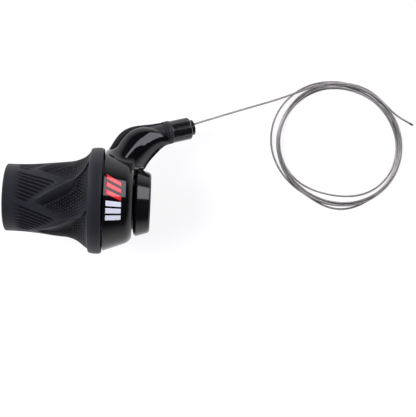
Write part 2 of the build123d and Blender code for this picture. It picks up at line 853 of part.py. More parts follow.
# Cable guide: a low friction liner along the bend in the arm
guide_end = along_axis(-bush_length - 2 * seat_clearance)
with BuildPart() as cable_guide:
    with BuildLine() as guide_line:
        FilletPolyline(leave_point, bend_corner, guide_end, radius=cable_bend_radius)
    with BuildSketch(Plane(origin=guide_line.line @ 0, z_dir=guide_line.line % 0)):
        Circle(guide_radius)
        Circle(guide_bore, mode=Mode.SUBTRACT)
    sweep()
    revolve(drum_hollow.sketch, axis=Axis.X, mode=Mode.SUBTRACT)
cable_guide.part.label = "cable_guide"
export_step(cable_guide.part, "parts/cable_guide.step")

# Barrel adjuster: threaded bush in the nose, hollow stem, fluted knob and friction ring
with BuildPart() as adjuster_bush:
    with BuildSketch(barrel_plane.offset(-bush_length)):
        Circle(stem_radius + seat_clearance + bush_wall)
        Circle(stem_radius + seat_clearance, mode=Mode.SUBTRACT)
    extrude(amount=bush_length)
adjuster_bush.part.label = "adjuster_bush"
export_step(adjuster_bush.part, "parts/adjuster_bush.step")


def along_barrel_axis(edge):
    return (edge.center() - barrel_plane.origin).dot(barrel_plane.z_dir)


with BuildPart() as adjuster_stem:
    with BuildSketch(barrel_plane.offset(-stem_inside)):
        Circle(stem_radius)
    extrude(amount=stem_inside + tip_end)
    with BuildSketch(barrel_plane.offset(knob_end)):
        Circle(tip_radius)
    extrude(amount=tip_length)
    tip_edges = adjuster_stem.edges().filter_by(GeomType.CIRCLE).sort_by(along_barrel_axis)
    fillet(tip_edges[-1], tip_rounding)
    with BuildSketch(barrel_plane.offset(-stem_inside)):
        Circle(stem_bore)
    extrude(amount=stem_inside + tip_end, mode=Mode.SUBTRACT)
    with BuildSketch(barrel_plane.offset(housing_seat_from_nose)):
        Circle(housing_seat_radius)
    extrude(amount=tip_end, mode=Mode.SUBTRACT)
adjuster_stem.part.label = "adjuster_stem"
export_step(adjuster_stem.part, "parts/adjuster_stem.step")

oring_circle = stem_radius + oring_clearance + oring_section
oring_place = knob_gap + oring_section + oring_clearance
with BuildPart() as adjuster_knob:
    with BuildSketch(barrel_plane.offset(knob_gap)):
        Circle(barrel_radius)
    extrude(amount=knob_length)
    with BuildSketch(barrel_plane.offset(knob_gap + knob_band)):
        with PolarLocations(barrel_radius + flute_radius - flute_depth, flute_count):
            Circle(flute_radius)
    extrude(amount=knob_length, mode=Mode.SUBTRACT)
    with BuildSketch(barrel_plane.offset(knob_gap)):
        Circle(stem_radius + seat_clearance)
    extrude(amount=knob_length, mode=Mode.SUBTRACT)
    with BuildSketch(barrel_plane.offset(knob_gap)):
        Circle(oring_circle + oring_section + oring_clearance)
    extrude(amount=2 * (oring_section + oring_clearance), mode=Mode.SUBTRACT)
adjuster_knob.part.label = "adjuster_knob"
export_step(adjuster_knob.part, "parts/adjuster_knob.step")

with BuildPart() as adjuster_oring:
    with Locations(barrel_plane.offset(oring_place)):
        Torus(oring_circle, oring_section)
adjuster_oring.part.label = "adjuster_oring"
export_step(adjuster_oring.part, "parts/adjuster_oring.step")

# Clamp collar: a split ring on the bar, its neck held in the housing, its ears underneath
bolt_height = floor_height + bolt_height_from_floor
ear_side = ear_width / 2
with BuildPart() as clamp_collar:
    with BuildSketch(Plane.XY):
        with BuildLine():
            Polyline(
                (end_wall_face + seat_clearance, clamp_bore),
                (end_wall_face + seat_clearance, collar_lip_radius),
                (end_wall_face + seat_clearance + collar_lip_width, collar_lip_radius),
                (end_wall_face + seat_clearance + collar_lip_width, collar_neck_radius),
                (-collar_left_length, collar_neck_radius),
                (-collar_left_length, collar_left_radius),
                (-collar_left_length + collar_bevel_from_left, collar_bevel_radius),
                (-collar_left_length + collar_peak_from_left, collar_peak_radius),
                (collar_half_length - collar_rim, collar_right_radius + collar_rim / 2),
                (collar_half_length, collar_right_radius - collar_rim / 2),
                (collar_half_length, clamp_bore),
                close=True,
            )
        make_face()
    revolve(axis=Axis.X)
    with BuildSketch(Plane.XY.offset(floor_height)):
        Rectangle(2 * collar_half_length, ear_width)
    extrude(amount=-floor_height - collar_neck_radius)
    fillet(clamp_collar.edges().filter_by(Axis.X).group_by(Axis.Z)[0], collar_rim)
    with BuildSketch(Plane.YZ.offset(end_wall_face)):
        Circle(clamp_bore)
        with Locations((0, floor_height / 2 - beyond)):
            Rectangle(ear_slit, -floor_height)
    extrude(amount=2 * collar_half_length - end_wall_face, mode=Mode.SUBTRACT)
    with BuildSketch(Plane.XZ.offset(-ear_side)):
        with Locations((0, bolt_height)):
            Circle(bolt_radius + bolt_clearance)
    extrude(amount=ear_width, mode=Mode.SUBTRACT)
    with BuildSketch(Plane.XZ.offset(-ear_side)):
        with Locations((0, bolt_height)):
            Circle(bolt_head_radius + 2 * bolt_clearance)
    extrude(amount=bolt_head_height, mode=Mode.SUBTRACT)
clamp_collar.part.label = "clamp_collar"
export_step(clamp_collar.part, "parts/clamp_collar.step")

with BuildPart() as clamp_bolt:
    with BuildSketch(Plane.XZ.offset(-ear_side)):
        with Locations((0, bolt_height)):
            Circle(bolt_head_radius)
    extrude(amount=bolt_head_height)
    with BuildSketch(Plane.XZ.offset(-ear_side)):
        with Locations((0, bolt_height)):
            Circle(bolt_radius)
    extrude(amount=ear_width - bolt_end_inset)
    with BuildSketch(Plane.XZ.offset(-ear_side)):
        with Locations((0, bolt_height)):
            RegularPolygon(bolt_socket_radius, 6)
    extrude(amount=bolt_socket_depth, mode=Mode.SUBTRACT)
clamp_bolt.part.label = "clamp_bolt"
export_step(clamp_bolt.part, "parts/clamp_bolt.step")

# Shift cable inside the shifter, from the spool to the barrel's mouth
with BuildPart() as shift_cable:
    with BuildLine() as inner_line:
        FilletPolyline(
            leave_point, bend_corner, lean_point, mouth_point, radius=[cable_bend_radius, lean_radius]
        )
    with BuildSketch(Plane(origin=inner_line.line @ 0, z_dir=inner_line.line % 0)):
        Circle(cable_radius)
    sweep()
shift_cable.part.label = "shift_cable"
export_step(shift_cable.part, "parts/shift_cable.step")

# Free cable: the stretch to the coil, the coil's outer shape, and the loose end
with BuildPart() as cable_run:
    with BuildLine() as run_line:
        FilletPolyline(*run_points, radius=run_radii)
    with BuildSketch(Plane(origin=run_line.line @ 0, z_dir=run_line.line % 0)):
        Circle(cable_radius)
    sweep()
cable_run.part.label = "cable_run"
export_step(cable_run.part, "parts/cable_run.step")

with BuildPart() as cable_coil:
    coil_middle = (coil_inner_radius + coil_outer_radius) / 2
    coil_origin = (coil_centre[0], coil_centre[1], floor_height + coil_height / 2)
    coil_plane = Plane(origin=coil_origin, x_dir=(1, 0, 0), z_dir=(0, -1, 0))
    with BuildSketch(coil_plane) as coil_section:
        with Locations((coil_middle, 0)):
            Rectangle(coil_outer_radius - coil_inner_radius, coil_height)
        chamfer(coil_section.vertices(), coil_chamfer)
    revolve(axis=Axis(coil_plane.origin, (0, 0, 1)))
cable_coil.part.label = "cable_coil"
export_step(cable_coil.part, "parts/cable_coil.step")

with BuildPart() as cable_tail:
    with BuildLine() as tail_line:
        FilletPolyline(*tail_points, radius=tail_radii)
    with BuildSketch(Plane(origin=tail_line.line @ 0, z_dir=tail_line.line % 0)):
        Circle(cable_radius)
    sweep()
cable_tail.part.label = "cable_tail"
export_step(cable_tail.part, "parts/cable_tail.step")

cable_section = pi * cable_radius**2
for piece, line in ((shift_cable, inner_line), (cable_run, run_line), (cable_tail, tail_line)):
    length = line.wires()[0].length
    share = piece.part.volume / cable_section / length
    print(piece.part.label, "length", round(length, 1), "volume share", round(share, 4))
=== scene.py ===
import json
import bpy
import numpy as np
from mathutils import Matrix, Quaternion, Vector


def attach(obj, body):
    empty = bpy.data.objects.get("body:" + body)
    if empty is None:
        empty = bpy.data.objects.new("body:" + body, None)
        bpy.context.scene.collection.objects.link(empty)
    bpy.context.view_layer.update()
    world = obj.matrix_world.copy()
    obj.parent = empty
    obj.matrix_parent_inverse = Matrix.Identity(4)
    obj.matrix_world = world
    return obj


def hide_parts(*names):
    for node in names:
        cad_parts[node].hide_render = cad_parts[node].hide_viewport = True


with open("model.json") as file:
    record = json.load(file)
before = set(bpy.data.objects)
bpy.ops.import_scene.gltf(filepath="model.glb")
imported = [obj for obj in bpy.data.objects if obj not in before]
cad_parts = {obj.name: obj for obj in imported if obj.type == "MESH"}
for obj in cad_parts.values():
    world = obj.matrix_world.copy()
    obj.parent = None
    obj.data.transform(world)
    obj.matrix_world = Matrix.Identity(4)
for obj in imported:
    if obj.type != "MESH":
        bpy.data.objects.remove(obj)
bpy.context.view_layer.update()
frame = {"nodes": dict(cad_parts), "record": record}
mm = 0.001
print("frame loaded,", len(frame["nodes"]), "nodes")

# camera: straight above the shifter, turned a little, as far off as the picture's perspective says
cameraPlace = {
    "position": (-3.3247, 3.8462, 430.0),
    "right": (0.9954, 0.0424, 0.0854),
    "up": (-0.0412, 0.9990, -0.0164),
    "lens": 70.80,
    "sensor": 36.0,
}


def placeCamera(place):
    right = Vector(place["right"]).normalized()
    back = right.cross(Vector(place["up"])).normalized()
    up = back.cross(right)
    data = bpy.data.cameras.new("camera")
    data.lens = place["lens"]
    data.sensor_width = place["sensor"]
    camera = bpy.data.objects.new("camera", data)
    turn = Matrix((right, up, back)).transposed()
    camera.matrix_world = Matrix.LocRotScale(Vector(place["position"]) * mm, turn.to_quaternion(), None)
    bpy.context.scene.collection.objects.link(camera)
    bpy.context.scene.camera = camera


placeCamera(cameraPlace)
bpy.context.scene.view_settings.view_transform = "Standard"


def gridMesh(name, points, wrapRows=False, wrapColumns=True, uv=None, capEnds=False):
    # a grid of points in millimetres made into quads between neighbours, wrapped round where asked
    rows, columns = points.shape[:2]
    row = np.arange(rows if wrapRows else rows - 1)
    column = np.arange(columns if wrapColumns else columns - 1)
    i, j = np.meshgrid(row, column, indexing="ij")
    ni, nj = (i + 1) % rows, (j + 1) % columns
    quads = np.stack([i * columns + j, i * columns + nj, ni * columns + nj, ni * columns + j], -1)
    loops = quads.ravel()
    starts = np.arange(0, len(loops), 4)
    if capEnds:
        ends = np.concatenate([np.arange(columns)[::-1], (rows - 1) * columns + np.arange(columns)])
        starts = np.concatenate([starts, len(loops) + np.array([0, columns])])
        loops = np.concatenate([loops, ends])
    mesh = bpy.data.meshes.new(name)
    mesh.vertices.add(rows * columns)
    mesh.vertices.foreach_set("co", (points * mm).astype(np.float32).ravel())
    mesh.loops.add(len(loops))
    mesh.loops.foreach_set("vertex_index", loops.astype(np.int32))
    mesh.polygons.add(len(starts))
    mesh.polygons.foreach_set("loop_start", starts.astype(np.int32))
    mesh.update(calc_edges=True)
    mesh.polygons.foreach_set("use_smooth", np.ones(len(starts), bool))
    if uv is not None:
        layer = mesh.uv_layers.new(name="surface")
        layer.data.foreach_set("uv", uv.reshape(-1, 2)[loops].astype(np.float32).ravel())
    mesh.validate()
    piece = bpy.data.objects.new(name, mesh)
    bpy.context.scene.collection.objects.link(piece)
    return piece


def smoothStep(low, high, value):
    # 0 below low, 1 above high, and an S-shaped cubic between the two
    share = np.clip((value - low) / (high - low), 0.0, 1.0)
    return share * share * (3.0 - 2.0 * share)


def walkedLength(line):
    # distance from the line's first point to each of its points, along the line
    return np.concatenate([[0.0], np.cumsum(np.linalg.norm(np.diff(line, axis=0), axis=1))])


# shift cable: the route from the barrel's mouth, loose turns on the floor, and the bare end; in millimetres
cable = {
    "radius": 0.55,
    "floor": -27.6,
    "run": [
        (25.39, 43.38, -13.12), (40.0, 48.9, -17.3), (56.0, 54.7, -20.9),
        (72.0, 60.3, -24.0), (84.0, 65.4, -25.6), (93.5, 69.4, -26.3),
    ],
    "tail": [(133.0, 62.5, -26.3), (141.0, 55.5, -26.8), (147.0, 52.4, -27.0), (151.3, 50.3, -27.05)],
    "centre": (107.5, 36.6),
    "firstAngle": 103.0,
    "lastAngle": 53.0,
    "startRadius": 35.7,
    "endRadius": 36.35,
    "turns": 8,
    "meanRadius": 34.2,
    "egg": [(1.4, 1, 0.2), (1.12, 2, 2.70)],  # swell, how often round, where in radians
    "wander": [(0.95, 0.60, 0.34), (0.64, 1.55, 0.92)],  # swing, how often in a turn, phase
    # turns that stray out of the bundle: where along the turns, over how much of a turn, how far out
    "strays": [(1.80, 0.17, 3.6), (4.54, 0.13, -4.6), (6.52, 0.07, 2.2), (3.90, 0.09, -1.8)],
    "easeIn": 0.22,  # of a turn
    "easeOut": 0.25,
    "crossing": 1.04,  # from wire to wire where they cross, in thicknesses
    "ownPoints": 12,  # the stretch just behind a point, which it can't cross
    "slope": 0.2,
    "roundOff": 9,  # points to either side
    "easeDown": 24,  # points before the tail
    "pointsPerTurn": 60,
    "resolution": 6,
    "strands": 9,
    "strandColumns": 3,
    "bulge": 0.05,
    "layLength": 8.0,
    "ringStep": 0.8,
    "fusedTip": 3.0,
    "length": 1.862,  # metres
}


def looseTurns(c):
    # radius: a mean, waves once and twice round that make it egg shaped, slow waves that wander in and out,
    # and a bell for each turn that strays out of the bundle; both ends ease over to the run and the tail
    sweep = c["turns"] + (c["firstAngle"] - c["lastAngle"]) / 360.0
    turn = np.linspace(0.0, sweep, int(sweep * c["pointsPerTurn"]))
    angle = np.radians(c["firstAngle"] - 360.0 * turn)
    radius = np.full(len(turn), c["meanRadius"])
    for swell, times, place in c["egg"]:
        radius += swell * np.cos(times * (angle - place))
    for swing, times, phase in c["wander"]:
        radius += swing * np.sin(2 * np.pi * times * turn + phase)
    for middle, spread, reach in c["strays"]:
        radius += reach * np.exp(-((turn - middle) / spread) ** 2)
    toStart = 1.0 - smoothStep(0.0, c["easeIn"], turn)
    toEnd = smoothStep(sweep - c["easeOut"], sweep, turn)
    radius += (c["startRadius"] - radius) * toStart + (c["endRadius"] - radius) * toEnd
    return np.array(c["centre"]) + radius[:, None] * np.column_stack([np.cos(angle), np.sin(angle)])


def layDown(plan, c, first):
    # each point rests on the floor, or on any earlier stretch that it crosses; the stiff wire leaves each
    # rest at a gentle slope, and a bell-shaped mean over its neighbours rounds its bends
    thick = 2.0 * c["radius"] * c["crossing"]
    low = c["floor"] + c["radius"]
    place = np.concatenate([first[:, :2], plan])
    height = np.concatenate([first[:, 2], np.full(len(plan), low)])
    walked = walkedLength(place)
    spread, ease = c["roundOff"], c["easeDown"]
    bell = np.exp(-(3.0 * np.arange(-spread, spread + 1) / spread) ** 2)
    for start in range(len(first), len(place), c["pointsPerTurn"]):
        here = slice(start, min(start + c["pointsPerTurn"], len(place)))
        gap = np.linalg.norm(place[here, None] - place[None, :start], axis=2)
        early = np.arange(start)[None, :] < np.arange(here.start, here.stop)[:, None] - c["ownPoints"]
        lift = np.sqrt(np.maximum(thick ** 2 - gap ** 2, 0.0)) + height[None, :start]
        rest = np.where((gap < thick) & early, lift, low).max(axis=1)
        height[here] = np.maximum(rest, low)
        far = np.abs(walked[:here.stop, None] - walked[None, :here.stop])
        high = np.pad((height[None, :here.stop] - c["slope"] * far).max(axis=1), spread, mode="edge")
        height[here] = np.maximum(np.convolve(high, bell / bell.sum(), mode="valid")[here], low)
    toTail = smoothStep(0.0, 1.0, np.linspace(0.0, 1.0, ease))
    height[-ease:] += (c["tail"][0][2] - height[-ease:]) * toTail
    return np.column_stack([place, height])[len(first):]


def routeSpline(name, points, resolution):
    data = bpy.data.curves.new(name, "CURVE")
    data.dimensions = "3D"
    data.resolution_u = resolution
    spline = data.splines.new("NURBS")
    spline.points.add(len(points) - 1)
    flat = np.column_stack([points * mm, np.ones(len(points))])
    spline.points.foreach_set("co", flat.astype(np.float32).ravel())
    spline.order_u = 3
    spline.use_endpoint_u = True
    return bpy.data.objects.new(name, data)


def splineLine(route, step):
    # the spline's own line, read back from Blender and set out at even steps
    bpy.context.scene.collection.objects.link(route)
    mesh = bpy.data.meshes.new_from_object(route.evaluated_get(bpy.context.evaluated_depsgraph_get()))
    line = np.zeros(len(mesh.vertices) * 3, np.float32)
    mesh.vertices.foreach_get("co", line)
    line = line.reshape(-1, 3).astype(float) / mm
    bpy.data.meshes.remove(mesh)
    bpy.data.objects.remove(route)
    walked = walkedLength(line)
    even = np.linspace(0.0, walked[-1], int(walked[-1] / step) + 1)
    return np.column_stack([np.interp(even, walked, line[:, k]) for k in range(3)]), even


def strandedCable(name, line, walked, c):
    # section: a circle with one bulge for each wire; the section turns once in each lay length along the line
    ahead = np.gradient(line, axis=0)
    ahead /= np.linalg.norm(ahead, axis=1)[:, None]
    side = np.cross((0.0, 0.0, 1.0), ahead)
    side /= np.linalg.norm(side, axis=1)[:, None]
    over = np.cross(ahead, side)
    around = np.linspace(0.0, 2 * np.pi, c["strandColumns"] * c["strands"], endpoint=False)
    reach = c["radius"] * (1.0 + c["bulge"] * np.cos(c["strands"] * around))
    angle = around[None, :] + 2 * np.pi * walked[:, None] / c["layLength"]
    out = np.cos(angle)[..., None] * side[:, None] + np.sin(angle)[..., None] * over[:, None]
    uv = np.stack(np.broadcast_arrays(around[None, :] / (2 * np.pi), walked[:, None] * mm), -1)
    return gridMesh(name, line[:, None] + reach[None, :, None] * out, uv=uv, capEnds=True)


turnPlan = looseTurns(cable)
runPoints, tailPoints = np.array(cable["run"]), np.array(cable["tail"])
turnPoints = layDown(turnPlan, cable, runPoints)
routePoints = np.concatenate([runPoints, turnPoints, tailPoints])
route = routeSpline("cable_route", routePoints, cable["resolution"])
cableLine, cableWalked = splineLine(route, cable["ringStep"])
shiftCable = strandedCable("shift_cable_free", cableLine, cableWalked, cable)
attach(shiftCable, "housing")
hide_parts("cable_run", "cable_coil", "cable_tail")
print(f"cable laid, {cableWalked[-1]:.1f} mm, coil top {turnPoints[:, 2].max():.2f}")

# rubber grip: one closed skin, turned about the bar and cut with ribs, facets and pebbled fans; places along
# are from its left end, in millimetres, and crest, facet and fan are each (places along, degrees round)
grip = {
    "left": -70.5,
    "right": -21.2,
    "knots": (0.0, 15.0, 28.0, 36.5, 42.7),
    "radii": (17.25, 17.85, 19.2, 20.85, 26.2),
    "slopes": (0.0, 0.091, 0.078, 0.501, 1.176),
    "leftRound": 0.7,
    "neckGap": 0.02,
    "flange": 27.6,
    "edge": {"radius": 0.6, "points": 6},
    "crown": {"fall": 0.5, "peak": 2.64, "half": 3.6, "rightShare": 0.6, "ends": (0.4, 0.15), "points": 10},
    "bevel": {"wide": 1.0, "deep": 0.5, "drop": 0.1, "points": 5},
    "bore": 15.15,
    "boreMiddle": 20.0,
    "boreEdge": 0.25,
    "discBore": 24.55,
    "discSeat": 45.25,
    "soften": 0.1,
    "panels": 6,
    "around": 504,
    "along": 150,
    "reliefFrom": (0.4, 2.0),
    "reliefTo": (0.7, 0.1),  # before the neck
    "crest": (
        (6.0, 16.1, 20.1, 25.1, 30.5, 35.9, 39.5, 41.0, 42.1, 43.0),
        (24.0, 3.7, -4.5, -13.7, -22.8, -32.0, -39.0, -43.9, -49.0, -52.0),
    ),
    "lip": {"wide": 0.7, "high": 0.22, "from": (15.5, 19.0)},
    "facet": (
        (15.6, 18.0, 20.2, 25.0, 31.0, 34.6, 36.4, 38.5, 43.0),
        (0.3, 9.0, 15.8, 17.6, 17.0, 16.0, 7.0, 3.0, 1.0),
    ),
    "facetDepth": 1.1,
    "facetFrom": (15.8, 21.5),
    "facetPower": 1.3,
    "fan": (
        (15.6, 17.0, 20.0, 23.0, 28.5, 31.5, 34.0, 37.0, 40.0, 43.2),
        (0.6, 5.0, 16.6, 29.0, 46.0, 54.5, 58.6, 59.2, 59.2, 59.0),
    ),
    "fanClimb": 0.62,
    "fanRim": 0.9,
    "narrowest": 0.3,  # degrees
    "pebbles": {
        "step": (1.25, 1.5), "radius": 0.55, "height": 0.45, "from": (19.5, 22.5),
        "rows": 64, "midRadius": 20.0, "shift": 0.12, "size": (0.9, 1.1), "seed": 11,
    },
    "ribs": {
        "count": 8, "first": -48.5, "gap": 6.55, "lead": 1.13, "origin": 6.3, "midRadius": 17.7,
        "depth": 0.8, "width": 0.5, "start": (5.2, 10.2), "end": 24.2, "fade": 3.0, "shorter": 1.85,
    },
    # painted shade: closed is how dark each kind of hollow is painted, in place of the light it shuts out;
    # opened is where the fans' painted shade eases again
    "closed": {"pebbles": 0.9, "facet": 0.8, "fan": 0.4, "ribs": 0.9},  # how far each hollow shuts out light
    "opened": {"climb": 0.75, "flare": 0.45, "flareFrom": (37.5, 42.0)},  # where the fans let it in again
}


def gripRadius(g, x):
    # smooth outline through the knots: cubic pieces with a given slope at each knot
    knots, radii, slopes = (np.array(g[key]) for key in ("knots", "radii", "slopes"))
    k = np.clip(np.searchsorted(knots, x) - 1, 0, len(knots) - 2)
    span = knots[k + 1] - knots[k]
    t = np.clip((x - knots[k]) / span, 0.0, 1.0)
    return (
        radii[k] * (1 + 2 * t) * (1 - t) ** 2 + radii[k + 1] * t * t * (3 - 2 * t)
        + span * (slopes[k] * t * (1 - t) ** 2 + slopes[k + 1] * t * t * (t - 1))
    )


def pebbleDomes(g, x, turn, radius):
    # round pebbles in staggered rows: a dome over the middle of each cell, every second row half a cell on,
    # each moved a little off its place
    p = g["pebbles"]
    rowStep, roundStep = p["step"]
    cells = int(2 * np.pi * p["midRadius"] / roundStep)
    cells -= cells % g["panels"]
    rng = np.random.default_rng(p["seed"])
    shift = rng.uniform(-p["shift"], p["shift"], (p["rows"], cells, 2))
    size = rng.uniform(*p["size"], (p["rows"], cells))
    u, v = x / rowStep, turn / 360.0 * cells
    height = np.zeros_like(x)
    for du in (-1, 0, 1):
        cu = np.clip(np.floor(u).astype(int) + du, 0, p["rows"] - 1)
        staggered = v - 0.5 * (cu % 2)
        for dv in (-1, 0, 1):
            cv = np.floor(staggered).astype(int) + dv
            key = (cu, cv % cells)
            aside = (staggered - cv - 0.5 - shift[key][..., 1]) * 2.0 * np.pi * radius / cells
            away = np.hypot((u - cu - 0.5 - shift[key][..., 0]) * rowStep, aside)
            dome = np.clip(1.0 - (away / (p["radius"] * size[key])) ** 2, 0.0, 1.0)
            height = np.maximum(height, np.sqrt(dome))
    return height


def fanRelief(g, x, turn, radius):
    # past each crest the rubber falls as a sine to the foot of its facet, climbs evenly over a pebbled fan,
    # and steps up to the plain; a bell-shaped lip runs along the crest
    closed, opened, lip, rim = g["closed"], g["opened"], g["lip"], g["fanRim"]
    pitch = 360.0 / g["panels"]
    crest, facet, fan = (np.interp(x, *g[key]) for key in ("crest", "facet", "fan"))
    fan = np.maximum(fan, facet)
    past = (turn - crest) % pitch
    arc = np.radians(1.0) * radius
    inFacet = past < facet
    fallen = np.clip(past / np.maximum(facet, g["narrowest"]), 0.0, 1.0)
    fall = np.sin(0.5 * np.pi * fallen) ** g["facetPower"]
    climb = np.clip((past - facet) / np.maximum(fan - facet, g["narrowest"]), 0.0, 1.0)
    step = smoothStep(-rim, 0.0, (past - fan) * arc)
    depth = np.where(inFacet, -fall, (g["fanClimb"] * climb - 1.0) * (1.0 - step))
    taper = smoothStep(*g["facetFrom"], x)
    toCrest = np.minimum(past, pitch - past) * arc
    ridge = np.exp(-(toCrest / lip["wide"]) ** 2) * smoothStep(*lip["from"], x)
    pebbled = smoothStep(0.0, rim, (past - facet) * arc) * smoothStep(0.0, rim, (fan - past) * arc)
    pebbled = pebbled * smoothStep(*g["pebbles"]["from"], x)
    dome = pebbleDomes(g, x, turn, radius)
    height = g["facetDepth"] * depth * taper + lip["high"] * ridge
    height = height + g["pebbles"]["height"] * dome * pebbled
    # painted shade: the facet, the foot of the fan and the ground between pebbles are painted darker, and the
    # rib grooves below
    shallow = np.maximum(opened["climb"] * climb ** 2, opened["flare"] * smoothStep(*opened["flareFrom"], x))
    hollow = np.where(inFacet, fall, closed["fan"] * (1.0 - climb) * (1.0 - shallow))
    unshaded = 1.0 - closed["pebbles"] * pebbled * (1.0 - dome) * (1.0 - shallow)
    return height, unshaded * (1.0 - closed["facet"] * taper * hollow)


def gripRelief(g, x, turn, radius):
    # height of the rubber over its plain outline, and how unshaded it is painted: 1 on the plain, less in a
    # hollow, where painted shade darkens it; ribs are bell-shaped grooves along slanted lines, each shorter
    # than the one before it in its panel; turn is the angle down the picture from the top, in degrees
    height, unshaded = fanRelief(g, x, turn, radius)
    ribs = g["ribs"]
    pitch = 360.0 / g["panels"]
    arc = np.radians(1.0) * radius
    slant = np.cos(np.arctan(ribs["lead"] * np.radians(ribs["midRadius"])))
    for rib in range(ribs["count"]):
        line = ribs["first"] + ribs["gap"] * rib + ribs["lead"] * (x - ribs["origin"])
        off = (turn - line + pitch / 2) % pitch - pitch / 2
        end = ribs["end"] - ribs["shorter"] * rib
        inside = smoothStep(*ribs["start"], x) * (1.0 - smoothStep(end, end + ribs["fade"], x))
        groove = inside * np.exp(-((off * arc * slant) / ribs["width"]) ** 2)
        height = height - ribs["depth"] * groove
        unshaded = unshaded * (1.0 - g["closed"]["ribs"] * groove)
    return height, unshaded


def gripSection(g):
    # the closed section as (place along, radius, share of relief): the outline to the neck, over the flange,
    # and back along the disc's seat and the bore
    top, edge, crown, bevel = (g[key] for key in ("flange", "edge", "crown", "bevel"))
    length = g["right"] - g["left"]
    neck = g["knots"][-1]
    x = np.linspace(0.0, neck - g["neckGap"], g["along"])
    share = smoothStep(*g["reliefFrom"], x) * (1.0 - smoothStep(*(neck - np.array(g["reliefTo"])), x))
    rounding = 1.0 - np.sqrt(1.0 - (1.0 - np.clip(x / g["leftRound"], 0.0, 1.0)) ** 2)
    outer = np.column_stack([x, gripRadius(g, x) - g["leftRound"] * rounding, share])
    quarter = np.linspace(0.0, 0.5 * np.pi, edge["points"])
    liftX = neck + edge["radius"] * (1.0 - np.cos(quarter))
    lift = np.column_stack([liftX, top - crown["fall"] - edge["radius"] * (1.0 - np.sin(quarter))])
    crownLeft = neck + edge["radius"] + crown["ends"][0]
    crownX = np.linspace(crownLeft, length - bevel["wide"] - crown["ends"][1], crown["points"])
    bend = (crownX - (length - crown["peak"])) / crown["half"]
    fall = crown["fall"] * bend ** 2 * np.where(bend > 0, crown["rightShare"], 1.0)
    t = np.linspace(0.0, 1.0, bevel["points"])
    slope = np.column_stack([length - bevel["wide"] * (1.0 - t), top - bevel["drop"] - bevel["deep"] * t])
    soft, seat, disc, bore = (g[key] for key in ("soften", "discSeat", "discBore", "bore"))
    inner = np.array([
        (length, disc + soft), (length - soft, disc), (seat + soft, disc), (seat, disc - soft),
        (seat, bore + soft), (seat - soft, bore), (g["boreMiddle"], bore), (g["boreEdge"], bore),
        (0.0, bore + g["boreEdge"]),
    ])
    plain = np.concatenate([lift, np.column_stack([crownX, top - fall]), slope, inner])
    return np.concatenate([outer, np.column_stack([plain, np.zeros(len(plain))])])


def gripSkin(name, g):
    # the section carried round the bar's axis; the relief is added along the radius
    section = gripSection(g)
    turn = np.linspace(0.0, 360.0, g["around"], endpoint=False)
    x, angle = np.meshgrid(section[:, 0], turn, indexing="ij")
    radius = np.broadcast_to(section[:, 1:2], x.shape)
    height, unshaded = gripRelief(g, x, angle, radius)
    radius = radius + height * section[:, 2:3]
    # the map's first coordinate carries the painted shade of the hollows, only where the relief is
    uv = np.stack([1.0 - (1.0 - unshaded) * section[:, 2:3], angle / 360.0], -1)
    down = np.radians(angle)
    points = np.stack([g["left"] + x, -radius * np.sin(down), radius * np.cos(down)], -1)
    return gridMesh(name, points[:, ::-1], wrapRows=True, uv=uv[:, ::-1])


twistGrip = gripSkin("twist_grip_skin", grip)
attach(twistGrip, "grip")
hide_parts("twist_grip")
print("grip skinned,", len(twistGrip.data.polygons), "faces")

# adjuster's knob: a plain band, broad sunk panels between narrow ridges, and a bevel at the tip; places along
# are from the end of the arm, in millimetres
knob = {
    "start": (10.198, 37.5, -9.614),
    "along": (0.938939, 0.267238, -0.216770),
    "radius": 6.2,
    "left": 0.3,
    "leftBevel": 0.2,
    "band": 2.6,
    "runOut": 0.3,
    "bevelFrom": 13.1,
    "right": 13.8,
    "tipRadius": 5.2,
    "tipShare": 0.5,  # of the panels' depth
    "tipBore": 4.3,
    "shoulder": 13.4,
    "bore": 3.5,
    "sealDepth": 1.5,
    "sealBore": 4.6,
    "panels": 5,
    "panelDepth": 0.32,
    "ridge": 7.0,  # degrees
    "around": 360,
    "step": 0.4,
    "crisp": 0.03,
}


def knobSection(k):
    # the section's corners as (place along, radius, share of the panels' depth), with even points along each
    # side and one close to either corner, so that the corners stay crisp
    corners = np.array([
        (k["left"], k["radius"] - k["leftBevel"], 0.0), (k["left"] + k["leftBevel"], k["radius"], 0.0),
        (k["band"], k["radius"], 0.0), (k["band"] + k["runOut"], k["radius"], 1.0),
        (k["bevelFrom"], k["radius"], 1.0), (k["right"], k["tipRadius"], k["tipShare"]),
        (k["right"], k["tipBore"], 0.0), (k["shoulder"], k["tipBore"], 0.0),
        (k["shoulder"], k["bore"], 0.0), (k["sealDepth"], k["bore"], 0.0),
        (k["sealDepth"], k["sealBore"], 0.0), (k["left"], k["sealBore"], 0.0),
    ])
    rows = []
    for start, end in zip(corners, np.roll(corners, -1, axis=0)):
        length = float(np.hypot(*(end - start)[:2]))
        tight = k["crisp"] / length
        shares = np.linspace(tight, 1.0 - tight, max(2, int(length / k["step"]) + 1))
        rows.append(start + (end - start) * shares[:, None])
    return np.concatenate(rows)


